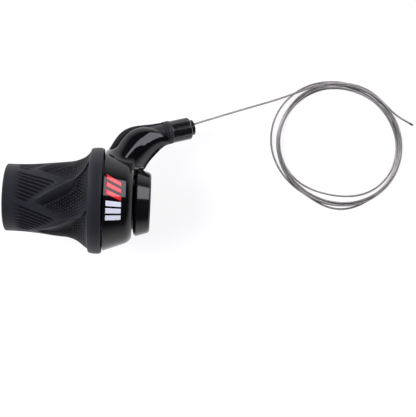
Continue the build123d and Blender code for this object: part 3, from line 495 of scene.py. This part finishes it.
def panelledKnob(name, k):
    # the section carried round the knob's axis; a panel is sunk by the same depth all over, and rises
    # smoothly to the ridge at either side of it
    along, radius, share = knobSection(k).T[:, :, None]
    turn = np.linspace(0.0, 360.0, k["around"], endpoint=False)[None, :]
    width = 360.0 / k["panels"]
    toRidge = width / 2 - np.abs((turn + width / 2) % width - width / 2)
    radius = radius - k["panelDepth"] * share * smoothStep(0.0, k["ridge"], toRidge)
    turn = np.radians(turn)
    axis = np.array(Vector(k["along"]).normalized())
    up = np.array([0.0, 0.0, 1.0]) - axis[2] * axis
    up = up / np.linalg.norm(up)
    side = np.cross(axis, up)
    points = (
        np.array(k["start"]) + along[..., None] * axis
        + (radius * np.cos(turn))[..., None] * up + (radius * np.sin(turn))[..., None] * side
    )
    return gridMesh(name, points, wrapRows=True)


adjusterKnob = panelledKnob("adjuster_knob_skin", knob)
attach(adjusterKnob, "adjuster")
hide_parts("adjuster_knob")
print("knob turned,", len(adjusterKnob.data.polygons), "faces")

# printed mark on the drum: slanted bars that follow its cone, a hair proud of it; millimetres along the bar,
# degrees round it
mark = {
    "left": -19.0,
    "right": -11.2,
    "coneLeft": (-20.3, 26.0),
    "coneRight": (-9.4, 21.9),
    "proud": 0.05,
    "rim": 0.3,
    "grid": (22, 14),
    "bars": {
        "mark_red": {"top": 32.5, "tall": 6.4, "step": 9.0, "slant": -7.0, "count": 3},
        "mark_silver": {"top": 1.5, "tall": 6.6, "step": 8.4, "slant": -1.5, "count": 3},
    },
}


def barPatch(name, m, bar, top):
    # one bar: across the cone and round it, with its grid closer at the rim; its height is the same all over
    # and falls under the cone at the rim
    across, down = (0.5 - 0.5 * np.cos(np.linspace(0.0, np.pi, count)) for count in m["grid"])
    u, v = np.meshgrid(across, down, indexing="ij")
    x = m["left"] + (m["right"] - m["left"]) * u
    radius = np.interp(x, *zip(m["coneLeft"], m["coneRight"]))
    turn = np.radians(top - bar["tall"] * v + bar["slant"] * u)
    tall = radius * np.radians(bar["tall"])
    inset = np.minimum(np.minimum(u, 1 - u) * (m["right"] - m["left"]), np.minimum(v, 1 - v) * tall)
    radius = radius + m["proud"] * (2.0 * smoothStep(0.0, m["rim"], inset) - 1.0)
    return gridMesh(name, np.stack([x, radius * np.sin(turn), radius * np.cos(turn)], -1), wrapColumns=False)


markBars = []
for tint, bar in mark["bars"].items():
    for number in range(bar["count"]):
        patch = barPatch(f"{tint}_{number + 1}", mark, bar, bar["top"] - bar["step"] * number)
        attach(patch, "housing")
        markBars.append((patch, tint))
print("mark printed,", len(markBars), "bars")


def linear(code):
    # sRGB hex to a linear colour: a straight foot, then a power of 2.4
    part = np.array([int(code[k:k + 2], 16) for k in (1, 3, 5)]) / 255.0
    part = np.where(part <= 0.04045, part / 12.92, ((part + 0.055) / 1.055) ** 2.4)
    return (*part.tolist(), 1.0)


def addNode(tree, kind, settings=None, values=None, links=None):
    # one node: its settings, its socket values, and its links as input: (node, output)
    node = tree.nodes.new(kind)
    for key, value in (settings or {}).items():
        setattr(node, key, value)
    for key, value in (values or {}).items():
        node.inputs[key].default_value = value
    for key, (source, output) in (links or {}).items():
        tree.links.new(source.outputs[output], node.inputs[key])
    return node


def finish(name, look):
    # a surface from its two tones, its roughness range and a grain of a real size in millimetres; a colour
    # mix takes its colours at inputs 6 and 7 and gives the result at output 2
    material = bpy.data.materials.new(name)
    material.use_nodes = True
    tree = material.node_tree
    tree.nodes.clear()
    place = addNode(tree, "ShaderNodeTexCoord")
    stretch = addNode(
        tree, "ShaderNodeMapping", values={"Scale": look.get("stretch", (1.0, 1.0, 1.0))},
        links={"Vector": (place, "Object")},
    )
    tone = addNode(
        tree, "ShaderNodeTexNoise", {"noise_dimensions": "3D"},
        {"Scale": 1.0 / (look["patch"] * mm), "Detail": 4.0, "Roughness": 0.6},
        {"Vector": (stretch, "Vector")},
    )
    grain = addNode(
        tree, "ShaderNodeTexNoise", {"noise_dimensions": "3D"},
        {"Scale": 1.0 / (look["grain"] * mm), "Detail": 3.0, "Roughness": 0.6},
        {"Vector": (stretch, "Vector")},
    )
    colour = addNode(
        tree, "ShaderNodeMix", {"data_type": "RGBA"}, {6: linear(look["dark"]), 7: linear(look["light"])},
        {"Factor": (tone, "Fac")},
    )
    rough = addNode(
        tree, "ShaderNodeMapRange",
        values={"From Min": 0.3, "From Max": 0.7, "To Min": look["rough"][0], "To Max": look["rough"][1]},
        links={"Value": (grain, "Fac")},
    )
    bump = addNode(
        tree, "ShaderNodeBump", values={"Strength": look["bump"][0], "Distance": look["bump"][1] * mm},
        links={"Height": (grain, "Fac")},
    )
    if "edge" in look:
        rounded = addNode(tree, "ShaderNodeBevel", {"samples": 6}, {"Radius": look["edge"] * mm})
        tree.links.new(rounded.outputs["Normal"], bump.inputs["Normal"])
    shader = addNode(
        tree, "ShaderNodeBsdfPrincipled", values=look.get("shader"),
        links={"Roughness": (rough, "Result"), "Normal": (bump, "Normal")},
    )
    if "paintedShadeTone" in look:
        # painted shade: darker and less shiny where the piece's own map says that it lies in a hollow
        surface = addNode(tree, "ShaderNodeUVMap", {"uv_map": "surface"})
        unshaded = addNode(tree, "ShaderNodeSeparateXYZ", links={0: (surface, "UV")})
        colour = addNode(
            tree, "ShaderNodeMix", {"data_type": "RGBA"}, {6: linear(look["paintedShadeTone"])},
            {"Factor": (unshaded, "X"), 7: (colour, 2)},
        )
        shine = addNode(
            tree, "ShaderNodeMapRange", values={"To Min": look["shine"][0], "To Max": look["shine"][1]},
            links={"Value": (unshaded, "X")},
        )
        tree.links.new(shine.outputs["Result"], shader.inputs["Specular IOR Level"])
    if "band" in look:
        # a dull band at one end: how far a point lies along the piece, from a point on its axis
        band = look["band"]
        offset = addNode(
            tree, "ShaderNodeVectorMath", {"operation": "SUBTRACT"}, {1: band["from"]}, {0: (place, "Object")}
        )
        reach = addNode(
            tree, "ShaderNodeVectorMath", {"operation": "DOT_PRODUCT"}, {1: band["along"]},
            {0: (offset, "Vector")},
        )
        within = addNode(
            tree, "ShaderNodeMath", {"operation": "LESS_THAN"}, {1: band["length"] * mm},
            {0: (reach, "Value")},
        )
        colour = addNode(
            tree, "ShaderNodeMix", {"data_type": "RGBA"}, {7: linear(band["tone"])},
            {"Factor": (within, 0), 6: (colour, 2)},
        )
        dull = addNode(
            tree, "ShaderNodeMix", {"data_type": "FLOAT"}, {3: band["rough"]},
            {0: (within, 0), 2: (rough, "Result")},
        )
        tree.links.new(dull.outputs[0], shader.inputs["Roughness"])
    if "fused" in look:
        # a dark tip past a length along the wire, which the piece's own map gives
        fused = look["fused"]
        along = addNode(tree, "ShaderNodeUVMap", {"uv_map": "surface"})
        walked = addNode(tree, "ShaderNodeSeparateXYZ", links={0: (along, "UV")})
        past = addNode(
            tree, "ShaderNodeMapRange",
            values={"From Min": fused["from"] * mm, "From Max": (fused["from"] + fused["blend"]) * mm},
            links={"Value": (walked, "Y")},
        )
        colour = addNode(
            tree, "ShaderNodeMix", {"data_type": "RGBA"}, {7: linear(fused["tone"])},
            {"Factor": (past, "Result"), 6: (colour, 2)},
        )
    tree.links.new(colour.outputs[2], shader.inputs["Base Color"])
    addNode(tree, "ShaderNodeOutputMaterial", links={"Surface": (shader, "BSDF")})
    return material


# what each slot is made of; patch, grain, edge and the bump's depth are in millimetres, and a tooth too fine
# for the picture is drawn coarser, so that it shows
looks = {
    # moulded rubber: dull, faintly blotched, with painted shade black down in the hollows, and a fine tooth
    # from the mould
    "grip_rubber": ("moulded_rubber", {
        "dark": "#18181c", "light": "#212126", "paintedShadeTone": "#060607", "patch": 6.0, "grain": 0.5,
        "rough": (0.42, 0.58), "bump": (0.35, 0.10), "shine": (0.0, 0.28), "shader": {"IOR": 1.5},
    }),
    # moulded nylon of the tube, spool and ball cages: plain, half matte
    "tube_nylon": ("moulded_nylon", {
        "dark": "#1b1b1d", "light": "#262628", "patch": 5.0, "grain": 0.6,
        "rough": (0.45, 0.6), "bump": (0.2, 0.05),
    }),
    # polished black polycarbonate: deep black, mirror-like, with the slight waviness of a moulding
    "cover_gloss": ("polished_polycarbonate", {
        "dark": "#070708", "light": "#0c0c0d", "patch": 12.0, "grain": 9.0,
        "rough": (0.03, 0.06), "bump": (0.05, 0.05), "edge": 0.35, "shader": {"IOR": 1.4},
    }),
    # glass-filled nylon of the rear shell: fine spark texture, satin
    "base_nylon": ("spark_textured_nylon", {
        "dark": "#19191b", "light": "#232325", "patch": 4.0, "grain": 0.35,
        "rough": (0.42, 0.58), "bump": (0.25, 0.05), "edge": 0.3,
    }),
    # bright black anodised aluminium of the clamp: the dyed layer shines like a dark lacquer
    "collar_black": ("black_anodised_aluminium", {
        "dark": "#0a0a0b", "light": "#111112", "patch": 3.0, "grain": 0.8,
        "rough": (0.10, 0.16), "bump": (0.04, 0.02), "edge": 0.35,
        "stretch": (6.0, 1.0, 1.0), "shader": {"Specular IOR Level": 0.38},
    }),
    # moulded satin nylon of the adjuster's knob: soft streaks of light, and a dull band next to the arm
    "knob_black": ("satin_nylon", {
        "dark": "#0b0b0c", "light": "#121213", "patch": 3.0, "grain": 0.4,
        "rough": (0.17, 0.24), "bump": (0.10, 0.03), "edge": 0.3,
        "band": {
            "from": [value * mm for value in knob["start"]], "along": knob["along"], "length": knob["band"],
            "tone": "#1e1e20", "rough": 0.55,
        },
    }),
    # turned and black anodised stem: dark and bright
    "stem_black": ("turned_black_aluminium", {
        "dark": "#0b0b0c", "light": "#131314", "patch": 2.0, "grain": 0.5,
        "rough": (0.12, 0.2), "bump": (0.05, 0.02), "edge": 0.2,
    }),
    # turned aluminium sleeve: silvery, with fine rings round the bar
    "sleeve_alloy": ("turned_aluminium", {
        "dark": "#b9babd", "light": "#d2d3d6", "patch": 4.0, "grain": 0.3,
        "rough": (0.28, 0.42), "bump": (0.1, 0.02), "stretch": (12.0, 1.0, 1.0), "shader": {"Metallic": 1.0},
    }),
    # hardened steel of balls, rings, spring and sleeve screws: grey and bright
    "steel": ("hardened_steel", {
        "dark": "#8d8f92", "light": "#b4b6b9", "patch": 2.0, "grain": 0.3,
        "rough": (0.18, 0.3), "bump": (0.05, 0.01), "shader": {"Metallic": 1.0},
    }),
    # black oxide screws and bolt: nearly black, with a dull metal sheen
    "bolt_black": ("black_oxide_steel", {
        "dark": "#1a1a1b", "light": "#2a2a2b", "patch": 1.5, "grain": 0.3,
        "rough": (0.3, 0.45), "bump": (0.1, 0.02), "shader": {"Metallic": 0.8},
    }),
    # turned brass bush: yellow, slightly dulled
    "brass": ("turned_brass", {
        "dark": "#a98640", "light": "#c9a860", "patch": 2.0, "grain": 0.3,
        "rough": (0.22, 0.35), "bump": (0.08, 0.02), "shader": {"Metallic": 1.0},
    }),
    # extruded acetal of the liner tube and washer: milky white, waxy
    "guide_liner": ("extruded_acetal", {
        "dark": "#d2d1cb", "light": "#e2e1dc", "patch": 3.0, "grain": 0.5,
        "rough": (0.35, 0.5), "bump": (0.05, 0.02),
    }),
    # drawn and stranded steel wire: slick and pale, burnt dark where its end is fused
    "cable_steel": ("drawn_steel_wire", {
        "dark": "#a5a09d", "light": "#dad6d2", "patch": 9.0, "grain": 0.5,
        "rough": (0.36, 0.50), "bump": (0.05, 0.01), "shader": {"Metallic": 1.0},
        "fused": {"from": float(cableWalked[-1]) - cable["fusedTip"], "blend": 0.6, "tone": "#5a5857"},
    }),
    # die cast cable head: dull grey
    "cable_end": ("die_cast_zinc", {
        "dark": "#8a8b8c", "light": "#a9aaab", "patch": 1.5, "grain": 0.3,
        "rough": (0.35, 0.5), "bump": (0.1, 0.02), "shader": {"Metallic": 1.0},
    }),
    # moulded seal ring: matte black
    "seal_rubber": ("moulded_seal_rubber", {
        "dark": "#161617", "light": "#202021", "patch": 2.0, "grain": 0.3,
        "rough": (0.45, 0.6), "bump": (0.1, 0.02),
    }),
    # enamel inks of the mark, printed and lacquered over: clear flat colours with a gloss
    "mark_red": ("printed_red_enamel", {
        "dark": "#c81d25", "light": "#da272e", "patch": 4.0, "grain": 1.5,
        "rough": (0.05, 0.09), "bump": (0.05, 0.01), "shader": {"IOR": 1.5},
    }),
    "mark_silver": ("printed_silver_enamel", {
        "dark": "#c6c9d2", "light": "#d8dbe4", "patch": 4.0, "grain": 1.5,
        "rough": (0.05, 0.09), "bump": (0.05, 0.01), "shader": {"IOR": 1.5},
    }),
}
materials = {slot: finish(name, look) for slot, (name, look) in looks.items()}


def dress(piece, slot):
    piece.data.materials.clear()
    piece.data.materials.append(materials[slot])


for row in frame["record"]["subparts"]:
    dress(frame["nodes"][row["node"]], row["material_slot"])
dress(shiftCable, "cable_steel")
dress(twistGrip, "grip_rubber")
dress(adjusterKnob, "knob_black")
for patch, tint in markBars:
    dress(patch, tint)
print("materials on", len(frame["nodes"]), "nodes")

# floor and light: a white sweep, soft boxes at the sides and a dark ceiling, so that the gloss stays black in
# the middle; in metres and watts
stage = {
    "floorSize": 4.0,
    "floorHeight": cable["floor"] * mm,
    "floorGlow": 0.80,
    "floorTone": "#d0d0d0",
    "floorShade": "#818181",
    "aim": (-0.02, 0.0, 0.0),
    "tone": "#f4f4ff",
    "backdrop": "#ffffff",
    "sky": {"From Min": 0.0, "From Max": 0.42, "To Min": 0.9, "To Max": 0.03},  # how bright, by height
    "boxes": [
        {
            "name": "box_right", "place": (0.512, 0.474, 0.578), "size": (0.24, 0.66), "power": 2.7,
            "spin": 45.0,  # degrees
        },
        {"name": "box_left", "place": (-0.70, 0.05, 0.60), "size": (0.5, 0.6), "power": 11.0},
        {"name": "box_fill", "place": (0.60, -0.10, 0.65), "size": (0.5, 0.5), "power": 4.0},
        {"name": "box_back", "place": (-0.70, 0.50, 0.40), "size": (0.6, 0.4), "power": 4.5},
        {"name": "box_front", "place": (-0.35, -0.75, 0.45), "size": (0.7, 0.4), "power": 0.6},
    ],
    "mirrored": ("box_right", "box_back", "box_front"),  # the ones that show in the gloss
}


def makeFloor(s):
    half, height = s["floorSize"] / 2 / mm, s["floorHeight"] / mm
    points = np.array([
        [(-half, -half, height), (half, -half, height)], [(-half, half, height), (half, half, height)],
    ])
    floor = gridMesh("floor", points, wrapColumns=False)
    material = bpy.data.materials.new("white_sweep")
    material.use_nodes = True
    tree = material.node_tree
    tree.nodes.clear()
    path = addNode(tree, "ShaderNodeLightPath")
    seen = addNode(
        tree, "ShaderNodeMath", {"operation": "MAXIMUM"},
        links={0: (path, "Is Camera Ray"), 1: (path, "Is Glossy Ray")},
    )
    seen = addNode(
        tree, "ShaderNodeMath", {"operation": "MAXIMUM"},
        links={0: (seen, 0), 1: (path, "Is Transmission Ray")},
    )
    paper = addNode(tree, "ShaderNodeBsdfDiffuse", values={"Color": linear(s["floorTone"])})
    shade = addNode(tree, "ShaderNodeBsdfDiffuse", values={"Color": linear(s["floorShade"])})
    glow = addNode(tree, "ShaderNodeEmission", values={"Strength": s["floorGlow"]})
    both = addNode(tree, "ShaderNodeAddShader", links={0: (shade, 0), 1: (glow, 0)})
    pick = addNode(tree, "ShaderNodeMixShader", links={0: (seen, 0), 1: (paper, 0), 2: (both, 0)})
    addNode(tree, "ShaderNodeOutputMaterial", links={"Surface": (pick, 0)})
    floor.data.materials.append(material)


def makeLights(s):
    for box in s["boxes"]:
        data = bpy.data.lights.new(box["name"], "AREA")
        data.shape = "RECTANGLE"
        data.size, data.size_y = box["size"]
        data.energy = box["power"]
        data.color = linear(s["tone"])[:3]
        lamp = bpy.data.objects.new(box["name"], data)
        lamp.visible_glossy = box["name"] in s["mirrored"]
        toward = Vector(s["aim"]) - Vector(box["place"])
        spin = Quaternion((0.0, 0.0, 1.0), np.radians(box.get("spin", 0.0)))
        facing = toward.to_track_quat("-Z", "Y") @ spin
        lamp.matrix_world = Matrix.LocRotScale(Vector(box["place"]), facing, None)
        bpy.context.scene.collection.objects.link(lamp)
    world = bpy.data.worlds.new("studio")
    bpy.context.scene.world = world
    world.use_nodes = True
    tree = world.node_tree
    tree.nodes.clear()
    place = addNode(tree, "ShaderNodeTexCoord")
    parts = addNode(tree, "ShaderNodeSeparateXYZ", links={0: (place, "Generated")})
    ramp = addNode(
        tree, "ShaderNodeMapRange", {"interpolation_type": "SMOOTHSTEP"}, s["sky"], {"Value": (parts, "Z")}
    )
    sky = addNode(
        tree, "ShaderNodeBackground", values={"Color": linear(s["tone"])},
        links={"Strength": (ramp, "Result")},
    )
    plain = addNode(tree, "ShaderNodeBackground", values={"Color": linear(s["backdrop"])})
    path = addNode(tree, "ShaderNodeLightPath")
    seen = addNode(
        tree, "ShaderNodeMixShader", links={0: (path, "Is Camera Ray"), 1: (sky, 0), 2: (plain, 0)}
    )
    addNode(tree, "ShaderNodeOutputWorld", links={"Surface": (seen, 0)})


makeFloor(stage)
makeLights(stage)
print("stage lit")
